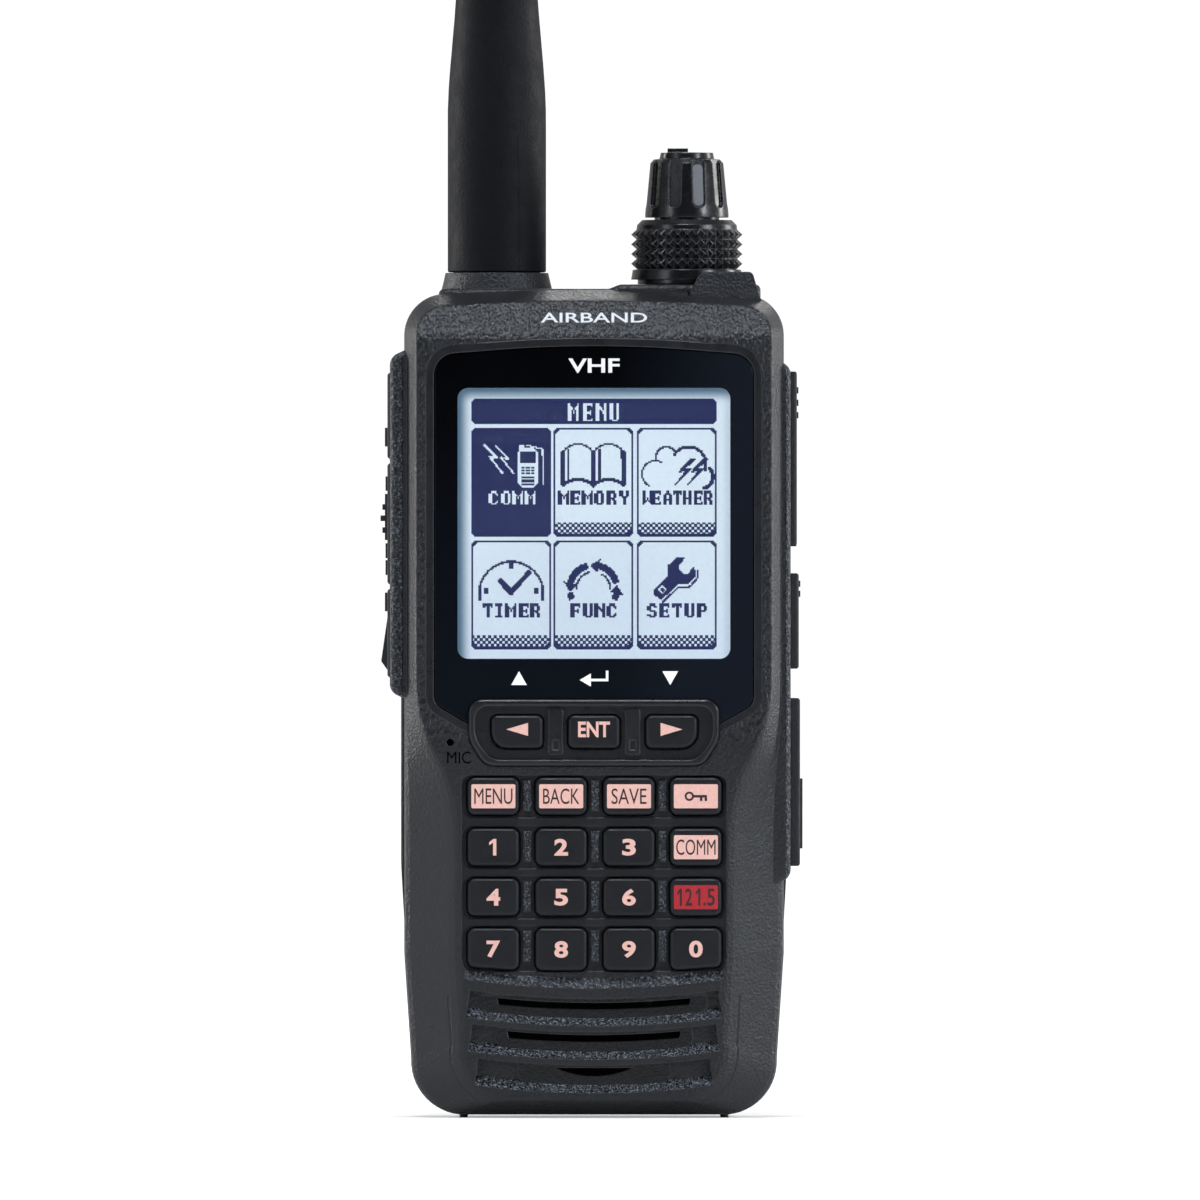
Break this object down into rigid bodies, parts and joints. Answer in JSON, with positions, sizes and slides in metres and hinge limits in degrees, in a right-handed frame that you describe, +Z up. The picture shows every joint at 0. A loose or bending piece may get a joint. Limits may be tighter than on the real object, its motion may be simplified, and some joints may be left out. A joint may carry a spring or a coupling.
{
  "type": "handheld aviation radio",
  "caption": "Handheld aviation radio with display, keypad, side talk key, twin top knob, screw-on antenna and slide-on battery.",
  "frame": {"origin": "on the surface the radio stands on, midway across its width and depth", "axes": "+Z up along the antenna, -Y towards the person holding it, +X to the right of the keypad"},
  "size_m": [0.0676, 0.0355, 0.2991],
  "materials": {
    "case_plastic": "fine-grained moulded plastic",
    "chassis_paint": "textured black paint on die-cast metal",
    "battery_plastic": "fine-grained moulded plastic",
    "key_rubber": "smooth matt keys with printed legends",
    "side_rubber": "matt rubber",
    "bezel_gloss": "glossy black plastic",
    "lens_clear": "clear window with a black printed border",
    "lcd_glass": "pale blue-white display",
    "light_guide": "milky light guide",
    "knob_plastic": "satin black moulded plastic",
    "antenna_rubber": "grained rubber sheath",
    "seal_rubber": "black gasket rubber",
    "board_green": "solder-masked circuit board",
    "shield_steel": "tinned steel",
    "screw_steel": "blackened steel",
    "contact_brass": "gold-plated contacts",
    "speaker_metal": "speaker frame and magnet",
    "cell_metal": "shrink-wrapped lithium cells",
    "socket_plastic": "black socket bodies"
  },
  "bodies": {
    "radio": {"front_case": "case_plastic", "rear_chassis": "chassis_paint", "case_seal": "seal_rubber", "lens_frame": "bezel_gloss", "display_lens": "lens_clear", "lcd_panel": "lcd_glass", "backlight_unit": "light_guide", "nav_bezel": "bezel_gloss", "keypad_mat": "seal_rubber", "key_board": "board_green", "main_board": "board_green", "shield_cans": "shield_steel", "speaker": "speaker_metal", "microphone": "speaker_metal", "side_switch_board": "board_green", "audio_jacks": "socket_plastic", "dc_jack": "socket_plastic", "usb_socket": "shield_steel", "case_screws": "screw_steel", "battery_terminals": "contact_brass", "control_body": "shield_steel", "antenna_connector": "contact_brass", "latch_pin": "screw_steel"},
    "volume_control": {"volume_knob": "knob_plastic", "volume_shaft": "shield_steel"},
    "dial_control": {"dial_ring": "knob_plastic", "dial_sleeve": "shield_steel"},
    "antenna_carrier": {"antenna_seal": "seal_rubber"},
    "antenna": {"antenna_sheath": "antenna_rubber", "antenna_coil": "contact_brass", "antenna_nut": "contact_brass"},
    "battery": {"battery_case": "battery_plastic", "battery_lid": "battery_plastic", "battery_cells": "cell_metal"},
    "latch": {"battery_latch": "battery_plastic"},
    "menu_key": {"menu_key": "key_rubber"},
    "back_key": {"back_key": "key_rubber"},
    "save_key": {"save_key": "key_rubber"},
    "lock_key": {"lock_key": "key_rubber"},
    "digit_1_key": {"digit_1_key": "key_rubber"},
    "digit_2_key": {"digit_2_key": "key_rubber"},
    "digit_3_key": {"digit_3_key": "key_rubber"},
    "comm_key": {"comm_key": "key_rubber"},
    "digit_4_key": {"digit_4_key": "key_rubber"},
    "digit_5_key": {"digit_5_key": "key_rubber"},
    "digit_6_key": {"digit_6_key": "key_rubber"},
    "emergency_key": {"emergency_key": "key_rubber"},
    "digit_7_key": {"digit_7_key": "key_rubber"},
    "digit_8_key": {"digit_8_key": "key_rubber"},
    "digit_9_key": {"digit_9_key": "key_rubber"},
    "digit_0_key": {"digit_0_key": "key_rubber"},
    "left_key": {"left_key": "key_rubber"},
    "enter_key": {"enter_key": "key_rubber"},
    "right_key": {"right_key": "key_rubber"},
    "monitor_key": {"monitor_key": "side_rubber"},
    "ptt_key": {"ptt_key": "side_rubber"},
    "lamp_key": {"lamp_key": "side_rubber"},
    "audio_cover": {"audio_cover": "side_rubber"},
    "dc_cover": {"dc_cover": "side_rubber"},
    "usb_cover": {"usb_cover": "side_rubber"}
  },
  "joints": [
    {"name": "volume_turn", "type": "hinge", "parent": "radio", "child": "volume_control", "pos_m": [0.0149, 0.003, 0.15], "axis": [0, 0, -1], "range_deg": [0, 300]},
    {"name": "dial_turn", "type": "hinge", "parent": "radio", "child": "dial_control", "pos_m": [0.0149, 0.003, 0.139], "axis": [0, 0, -1], "continuous": true},
    {"name": "antenna_rise", "type": "slide", "parent": "radio", "child": "antenna_carrier", "axis": [0, 0, 1], "range_m": [0, 0.00353]},
    {"name": "antenna_unscrew", "type": "hinge", "parent": "antenna_carrier", "child": "antenna", "pos_m": [-0.0156, 0.003, 0.14], "axis": [0, 0, 1], "range_deg": [0, 1800]},
    {"name": "battery_slide", "type": "slide", "parent": "radio", "child": "battery", "axis": [0, 0, -1], "range_m": [0, 0.003]},
    {"name": "latch_turn", "type": "hinge", "parent": "radio", "child": "latch", "pos_m": [0, 0.001, 0.0031], "axis": [-1, 0, 0], "range_deg": [0, 90]},
    {"name": "menu_key_press", "type": "slide", "parent": "radio", "child": "menu_key", "axis": [0, 1, 0], "range_m": [0, 0.0007], "stiffness_N_per_m": 300},
    {"name": "back_key_press", "type": "slide", "parent": "radio", "child": "back_key", "axis": [0, 1, 0], "range_m": [0, 0.0007], "stiffness_N_per_m": 300},
    {"name": "save_key_press", "type": "slide", "parent": "radio", "child": "save_key", "axis": [0, 1, 0], "range_m": [0, 0.0007], "stiffness_N_per_m": 300},
    {"name": "lock_key_press", "type": "slide", "parent": "radio", "child": "lock_key", "axis": [0, 1, 0], "range_m": [0, 0.0007], "stiffness_N_per_m": 300},
    {"name": "digit_1_key_press", "type": "slide", "parent": "radio", "child": "digit_1_key", "axis": [0, 1, 0], "range_m": [0, 0.0007], "stiffness_N_per_m": 300},
    {"name": "digit_2_key_press", "type": "slide", "parent": "radio", "child": "digit_2_key", "axis": [0, 1, 0], "range_m": [0, 0.0007], "stiffness_N_per_m": 300},
    {"name": "digit_3_key_press", "type": "slide", "parent": "radio", "child": "digit_3_key", "axis": [0, 1, 0], "range_m": [0, 0.0007], "stiffness_N_per_m": 300},
    {"name": "comm_key_press", "type": "slide", "parent": "radio", "child": "comm_key", "axis": [0, 1, 0], "range_m": [0, 0.0007], "stiffness_N_per_m": 300},
    {"name": "digit_4_key_press", "type": "slide", "parent": "radio", "child": "digit_4_key", "axis": [0, 1, 0], "range_m": [0, 0.0007], "stiffness_N_per_m": 300},
    {"name": "digit_5_key_press", "type": "slide", "parent": "radio", "child": "digit_5_key", "axis": [0, 1, 0], "range_m": [0, 0.0007], "stiffness_N_per_m": 300},
    {"name": "digit_6_key_press", "type": "slide", "parent": "radio", "child": "digit_6_key", "axis": [0, 1, 0], "range_m": [0, 0.0007], "stiffness_N_per_m": 300},
    {"name": "emergency_key_press", "type": "slide", "parent": "radio", "child": "emergency_key", "axis": [0, 1, 0], "range_m": [0, 0.0007], "stiffness_N_per_m": 300},
    {"name": "digit_7_key_press", "type": "slide", "parent": "radio", "child": "digit_7_key", "axis": [0, 1, 0], "range_m": [0, 0.0007], "stiffness_N_per_m": 300},
    {"name": "digit_8_key_press", "type": "slide", "parent": "radio", "child": "digit_8_key", "axis": [0, 1, 0], "range_m": [0, 0.0007], "stiffness_N_per_m": 300},
    {"name": "digit_9_key_press", "type": "slide", "parent": "radio", "child": "digit_9_key", "axis": [0, 1, 0], "range_m": [0, 0.0007], "stiffness_N_per_m": 300},
    {"name": "digit_0_key_press", "type": "slide", "parent": "radio", "child": "digit_0_key", "axis": [0, 1, 0], "range_m": [0, 0.0007], "stiffness_N_per_m": 300},
    {"name": "left_key_press", "type": "slide", "parent": "radio", "child": "left_key", "axis": [0, 1, 0], "range_m": [0, 0.0007], "stiffness_N_per_m": 300},
    {"name": "enter_key_press", "type": "slide", "parent": "radio", "child": "enter_key", "axis": [0, 1, 0], "range_m": [0, 0.0007], "stiffness_N_per_m": 300},
    {"name": "right_key_press", "type": "slide", "parent": "radio", "child": "right_key", "axis": [0, 1, 0], "range_m": [0, 0.0007], "stiffness_N_per_m": 300},
    {"name": "monitor_key_press", "type": "slide", "parent": "radio", "child": "monitor_key", "axis": [1, 0, 0], "range_m": [0, 0.0007], "stiffness_N_per_m": 300},
    {"name": "ptt_key_press", "type": "slide", "parent": "radio", "child": "ptt_key", "axis": [1, 0, 0], "range_m": [0, 0.0007], "stiffness_N_per_m": 300},
    {"name": "lamp_key_press", "type": "slide", "parent": "radio", "child": "lamp_key", "axis": [1, 0, 0], "range_m": [0, 0.0007], "stiffness_N_per_m": 300},
    {"name": "audio_cover_open", "type": "hinge", "parent": "radio", "child": "audio_cover", "pos_m": [0.0319, -0.0029, 0.1055], "axis": [0, 0, 1], "range_deg": [0, 110]},
    {"name": "dc_cover_open", "type": "hinge", "parent": "radio", "child": "dc_cover", "pos_m": [0.0319, -0.0029, 0.0795], "axis": [0, 0, 1], "range_deg": [0, 110]},
    {"name": "usb_cover_open", "type": "hinge", "parent": "radio", "child": "usb_cover", "pos_m": [0.0319, -0.0029, 0.0535], "axis": [0, 0, 1], "range_deg": [0, 110]}
  ],
  "couplings": [
    {"joint": "antenna_unscrew", "follows": "antenna_rise", "rad_per_m": 8904.7},
    {"joint": "latch_turn", "follows": "battery_slide", "rad_per_m": 523.59}
  ]
}
